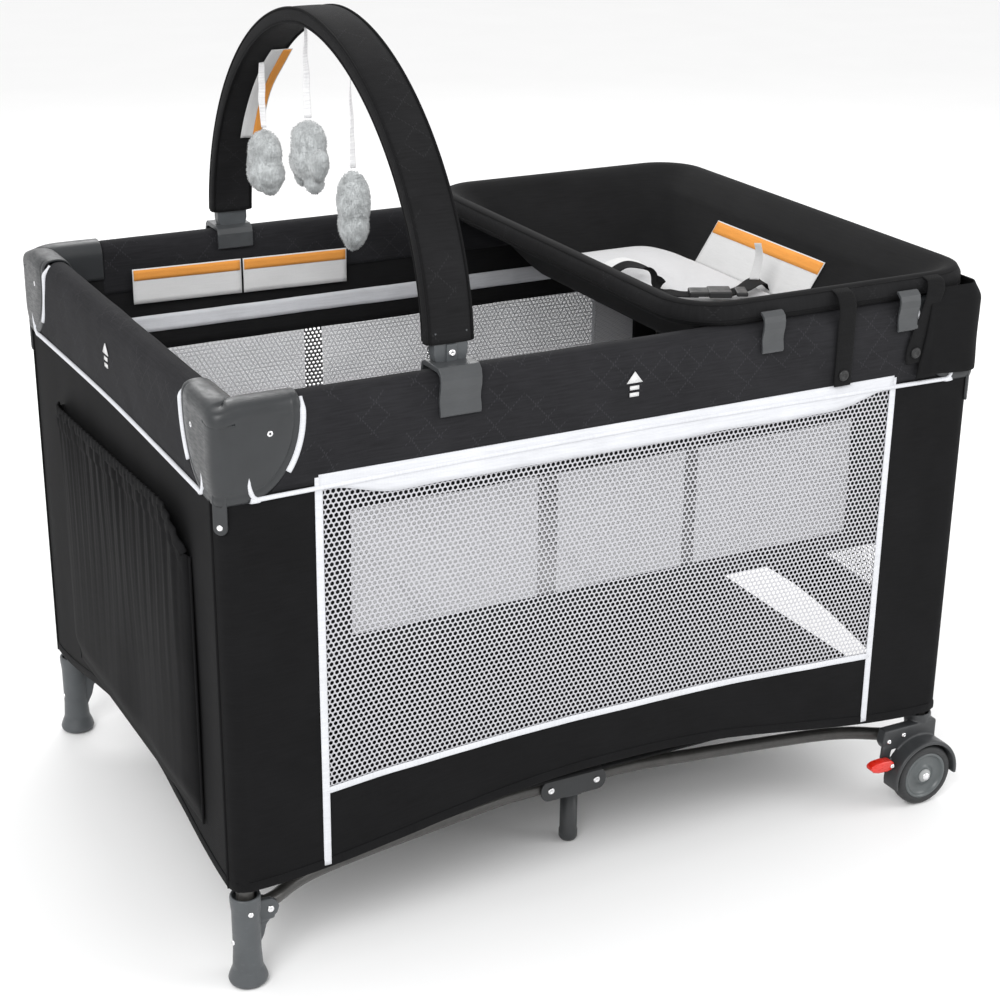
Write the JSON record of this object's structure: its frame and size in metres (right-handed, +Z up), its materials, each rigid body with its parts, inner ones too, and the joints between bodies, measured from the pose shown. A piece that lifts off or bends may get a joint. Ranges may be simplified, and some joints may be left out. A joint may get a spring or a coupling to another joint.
{
  "type": "travel play yard",
  "caption": "Folding four-legged play yard with mesh sides, raised bassinet, clip-on changing table and a padded toy bar with hanging plush toys.",
  "frame": {"origin": "on the floor, at the middle of the four legs", "axes": "+X along the long side towards the wheels, +Y to the back, +Z up"},
  "size_m": [1.0927, 0.796, 1.091],
  "materials": {
    "black_fabric": "woven polyester, matt",
    "white_mesh": "hexagonal netting",
    "white_binding": "woven tape",
    "painted_tube": "semi-gloss powder coat",
    "grey_plastic": "satin moulded",
    "wheel": "satin disc with a soft tyre",
    "red_plastic": "gloss moulded",
    "grey_plush": "short pile plush",
    "white_ribbon": "satin ribbon",
    "pale_fabric": "brushed cotton",
    "chrome_screw": "bright"
  },
  "bodies": {
    "post_front_left": {"leg_front_left": "painted_tube", "corner_cap_front_left": "grey_plastic", "foot_front_left": "grey_plastic", "wall_front": "black_fabric", "wall_left": "black_fabric", "side_pocket": "black_fabric", "bassinet": "black_fabric"},
    "arm_front_left": {"base_arm_front_left": "painted_tube"},
    "bracket_front": {"centre_bracket_front": "grey_plastic"},
    "arm_front_right": {"base_arm_front_right": "painted_tube"},
    "post_front_right": {"leg_front_right": "painted_tube", "corner_cap_front_right": "grey_plastic", "wheel_bracket_front_right": "grey_plastic", "wall_right": "black_fabric"},
    "cross_front": {"cross_arm_front": "painted_tube"},
    "hub": {"centre_hub": "grey_plastic", "floor_panel": "black_fabric"},
    "cross_back": {"cross_arm_back": "painted_tube"},
    "bracket_back": {"centre_bracket_back": "grey_plastic"},
    "arm_back_left": {"base_arm_back_left": "painted_tube"},
    "post_back_left": {"leg_back_left": "painted_tube", "corner_cap_back_left": "grey_plastic", "foot_back_left": "grey_plastic", "wall_back": "black_fabric"},
    "arm_back_right": {"base_arm_back_right": "painted_tube"},
    "post_back_right": {"leg_back_right": "painted_tube", "corner_cap_back_right": "grey_plastic", "wheel_bracket_back_right": "grey_plastic"},
    "long_front_left": {"long_rail_front_left": "painted_tube"},
    "short_front_left": {"short_rail_front_left": "painted_tube"},
    "long_front_right": {"long_rail_front_right": "painted_tube"},
    "short_front_right": {"short_rail_front_right": "painted_tube"},
    "long_back_left": {"long_rail_back_left": "painted_tube"},
    "short_back_left": {"short_rail_back_left": "painted_tube"},
    "long_back_right": {"long_rail_back_right": "painted_tube"},
    "short_back_right": {"short_rail_back_right": "painted_tube"},
    "latch_front": {"rail_latch_front": "grey_plastic"},
    "latch_back": {"rail_latch_back": "grey_plastic"},
    "latch_left": {"rail_latch_left": "grey_plastic"},
    "latch_right": {"rail_latch_right": "grey_plastic"},
    "wheel_front": {"wheel_front_right": "wheel"},
    "brake_front": {"brake_lever_front_right": "red_plastic"},
    "wheel_back": {"wheel_back_right": "wheel"},
    "brake_back": {"brake_lever_back_right": "red_plastic"},
    "mattress": {"mattress": "pale_fabric"},
    "toy_bar_clamps": {"toy_bar_clamp_front": "grey_plastic", "toy_bar_clamp_back": "grey_plastic"},
    "changer_clips": {"changer_clip_inner": "grey_plastic", "changer_clip_outer": "grey_plastic"},
    "toy_bar": {"toy_bar": "black_fabric"},
    "changer": {"changer_rim": "black_fabric", "changer_edge_band": "black_fabric", "changer_tray": "black_fabric", "changer_pad": "pale_fabric"},
    "toy_left": {"toy_ribbon_left": "white_ribbon", "plush_toy_left": "grey_plush"},
    "toy_middle": {"toy_ribbon_middle": "white_ribbon", "plush_toy_middle": "grey_plush"},
    "toy_right": {"toy_ribbon_right": "white_ribbon", "plush_toy_right": "grey_plush"}
  },
  "joints": [
    {"name": "fold", "type": "hinge", "parent": "post_front_left", "child": "arm_front_left", "pos_m": [-0.471, -0.334, 0.09], "axis": [0, -1, 0], "range_deg": [0, 80], "deforming": ["wall_front", "wall_left", "wall_right", "wall_back", "side_pocket", "floor_panel", "bassinet", "mattress"]},
    {"name": "bracket_front_level", "type": "hinge", "parent": "arm_front_left", "child": "bracket_front", "pos_m": [-0.035, -0.25, 0.09], "axis": [0, 1, 0], "range_deg": [0, 80]},
    {"name": "arm_front_right_fold", "type": "hinge", "parent": "bracket_front", "child": "arm_front_right", "pos_m": [0.035, -0.25, 0.09], "axis": [0, 1, 0], "range_deg": [0, 80]},
    {"name": "post_front_right_level", "type": "hinge", "parent": "arm_front_right", "child": "post_front_right", "pos_m": [0.471, -0.334, 0.09], "axis": [0, -1, 0], "range_deg": [0, 80]},
    {"name": "cross_front_fold", "type": "hinge", "parent": "bracket_front", "child": "cross_front", "pos_m": [0, -0.228, 0.09], "axis": [1, 0, 0], "range_deg": [0, 80]},
    {"name": "hub_level", "type": "hinge", "parent": "cross_front", "child": "hub", "pos_m": [0, -0.022, 0.09], "axis": [-1, 0, 0], "range_deg": [0, 80]},
    {"name": "cross_back_fold", "type": "hinge", "parent": "hub", "child": "cross_back", "pos_m": [0, 0.022, 0.09], "axis": [-1, 0, 0], "range_deg": [0, 80]},
    {"name": "bracket_back_level", "type": "hinge", "parent": "cross_back", "child": "bracket_back", "pos_m": [0, 0.228, 0.09], "axis": [1, 0, 0], "range_deg": [0, 80]},
    {"name": "arm_back_left_fold", "type": "hinge", "parent": "bracket_back", "child": "arm_back_left", "pos_m": [-0.035, 0.25, 0.09], "axis": [0, -1, 0], "range_deg": [0, 80]},
    {"name": "post_back_left_level", "type": "hinge", "parent": "arm_back_left", "child": "post_back_left", "pos_m": [-0.471, 0.334, 0.09], "axis": [0, 1, 0], "range_deg": [0, 80]},
    {"name": "arm_back_right_fold", "type": "hinge", "parent": "bracket_back", "child": "arm_back_right", "pos_m": [0.035, 0.25, 0.09], "axis": [0, 1, 0], "range_deg": [0, 80]},
    {"name": "post_back_right_level", "type": "hinge", "parent": "arm_back_right", "child": "post_back_right", "pos_m": [0.471, 0.334, 0.09], "axis": [0, -1, 0], "range_deg": [0, 80]},
    {"name": "long_rail_front_left_fold", "type": "hinge", "parent": "post_front_left", "child": "long_front_left", "pos_m": [-0.471, -0.355, 0.713], "axis": [0, 1, 0], "range_deg": [0, 80]},
    {"name": "short_rail_front_left_fold", "type": "hinge", "parent": "post_front_left", "child": "short_front_left", "pos_m": [-0.503, -0.323, 0.713], "axis": [-1, 0, 0], "range_deg": [0, 66.44]},
    {"name": "long_rail_front_right_fold", "type": "hinge", "parent": "post_front_right", "child": "long_front_right", "pos_m": [0.471, -0.355, 0.713], "axis": [0, -1, 0], "range_deg": [0, 80]},
    {"name": "short_rail_front_right_fold", "type": "hinge", "parent": "post_front_right", "child": "short_front_right", "pos_m": [0.503, -0.323, 0.713], "axis": [-1, 0, 0], "range_deg": [0, 66.44]},
    {"name": "long_rail_back_left_fold", "type": "hinge", "parent": "post_back_left", "child": "long_back_left", "pos_m": [-0.471, 0.355, 0.713], "axis": [0, 1, 0], "range_deg": [0, 80]},
    {"name": "short_rail_back_left_fold", "type": "hinge", "parent": "post_back_left", "child": "short_back_left", "pos_m": [-0.503, 0.323, 0.713], "axis": [1, 0, 0], "range_deg": [0, 66.44]},
    {"name": "long_rail_back_right_fold", "type": "hinge", "parent": "post_back_right", "child": "long_back_right", "pos_m": [0.471, 0.355, 0.713], "axis": [0, -1, 0], "range_deg": [0, 80]},
    {"name": "short_rail_back_right_fold", "type": "hinge", "parent": "post_back_right", "child": "short_back_right", "pos_m": [0.503, 0.323, 0.713], "axis": [1, 0, 0], "range_deg": [0, 66.44]},
    {"name": "rail_latch_front_level", "type": "hinge", "parent": "long_front_left", "child": "latch_front", "pos_m": [-0.035, -0.355, 0.713], "axis": [0, -1, 0], "range_deg": [0, 80]},
    {"name": "rail_latch_back_level", "type": "hinge", "parent": "long_back_left", "child": "latch_back", "pos_m": [-0.035, 0.355, 0.713], "axis": [0, -1, 0], "range_deg": [0, 80]},
    {"name": "rail_latch_left_level", "type": "hinge", "parent": "short_front_left", "child": "latch_left", "pos_m": [-0.503, -0.035, 0.713], "axis": [1, 0, 0], "range_deg": [0, 66.44]},
    {"name": "rail_latch_right_level", "type": "hinge", "parent": "short_front_right", "child": "latch_right", "pos_m": [0.503, -0.035, 0.713], "axis": [1, 0, 0], "range_deg": [0, 66.44]},
    {"name": "wheel_front_spin", "type": "hinge", "parent": "post_front_right", "child": "wheel_front", "pos_m": [0.493, -0.385, 0.045], "axis": [0, 1, 0], "continuous": true},
    {"name": "brake_front_press", "type": "hinge", "parent": "post_front_right", "child": "brake_front", "pos_m": [0.437, -0.382, 0.072], "axis": [0, -1, 0], "range_deg": [0, 18]},
    {"name": "wheel_back_spin", "type": "hinge", "parent": "post_back_right", "child": "wheel_back", "pos_m": [0.493, 0.385, 0.045], "axis": [0, 1, 0], "continuous": true},
    {"name": "brake_back_press", "type": "hinge", "parent": "post_back_right", "child": "brake_back", "pos_m": [0.437, 0.382, 0.072], "axis": [0, -1, 0], "range_deg": [0, 18]},
    {"name": "mattress_lift", "type": "slide", "parent": "post_front_left", "child": "mattress", "axis": [0, 0, 1], "range_m": [0, 0.85]},
    {"name": "toy_bar_lift", "type": "slide", "parent": "post_front_left", "child": "toy_bar_clamps", "axis": [0, 0, 1], "range_m": [0, 0.85]},
    {"name": "changer_lift", "type": "slide", "parent": "post_front_left", "child": "changer_clips", "axis": [0, 0, 1], "range_m": [0, 0.85]},
    {"name": "toy_bar_tilt", "type": "hinge", "parent": "toy_bar_clamps", "child": "toy_bar", "pos_m": [-0.231, 0, 0.759], "axis": [0, 1, 0], "range_deg": [-30, 30]},
    {"name": "changer_flip", "type": "hinge", "parent": "changer_clips", "child": "changer", "pos_m": [0.52, 0, 0.752], "axis": [0, 1, 0], "range_deg": [0, 105]},
    {"name": "toy_left_swing", "type": "hinge", "parent": "toy_bar", "child": "toy_left", "pos_m": [-0.231, 0.205, 0.9942], "axis": [0, 1, 0], "range_deg": [-25, 25]},
    {"name": "toy_middle_swing", "type": "hinge", "parent": "toy_bar", "child": "toy_middle", "pos_m": [-0.231, 0.05, 1.064], "axis": [0, 1, 0], "range_deg": [-25, 25]},
    {"name": "toy_right_swing", "type": "hinge", "parent": "toy_bar", "child": "toy_right", "pos_m": [-0.231, -0.088, 1.0547], "axis": [0, 1, 0], "range_deg": [-25, 25]}
  ],
  "couplings": [
    {"joint": "bracket_front_level", "follows": "fold", "ratio": 1},
    {"joint": "arm_front_right_fold", "follows": "fold", "ratio": 1},
    {"joint": "post_front_right_level", "follows": "fold", "ratio": 1},
    {"joint": "cross_front_fold", "follows": "fold", "ratio": 1},
    {"joint": "hub_level", "follows": "fold", "ratio": 1},
    {"joint": "cross_back_fold", "follows": "fold", "ratio": 1},
    {"joint": "bracket_back_level", "follows": "fold", "ratio": 1},
    {"joint": "arm_back_left_fold", "follows": "fold", "ratio": 1},
    {"joint": "post_back_left_level", "follows": "fold", "ratio": 1},
    {"joint": "arm_back_right_fold", "follows": "fold", "ratio": 1},
    {"joint": "post_back_right_level", "follows": "fold", "ratio": 1},
    {"joint": "long_rail_front_left_fold", "follows": "fold", "ratio": 1},
    {"joint": "short_rail_front_left_fold", "follows": "fold", "ratio": 0.828},
    {"joint": "long_rail_front_right_fold", "follows": "fold", "ratio": 1},
    {"joint": "short_rail_front_right_fold", "follows": "fold", "ratio": 0.828},
    {"joint": "long_rail_back_left_fold", "follows": "fold", "ratio": 1},
    {"joint": "short_rail_back_left_fold", "follows": "fold", "ratio": 0.828},
    {"joint": "long_rail_back_right_fold", "follows": "fold", "ratio": 1},
    {"joint": "short_rail_back_right_fold", "follows": "fold", "ratio": 0.828},
    {"joint": "rail_latch_front_level", "follows": "fold", "ratio": 1},
    {"joint": "rail_latch_back_level", "follows": "fold", "ratio": 1},
    {"joint": "rail_latch_left_level", "follows": "fold", "ratio": 0.828},
    {"joint": "rail_latch_right_level", "follows": "fold", "ratio": 0.828},
    {"joint": "mattress_lift", "follows": "fold", "m_per_rad": 0.6},
    {"joint": "toy_bar_lift", "follows": "fold", "m_per_rad": 0.6},
    {"joint": "changer_lift", "follows": "fold", "m_per_rad": 0.6}
  ]
}
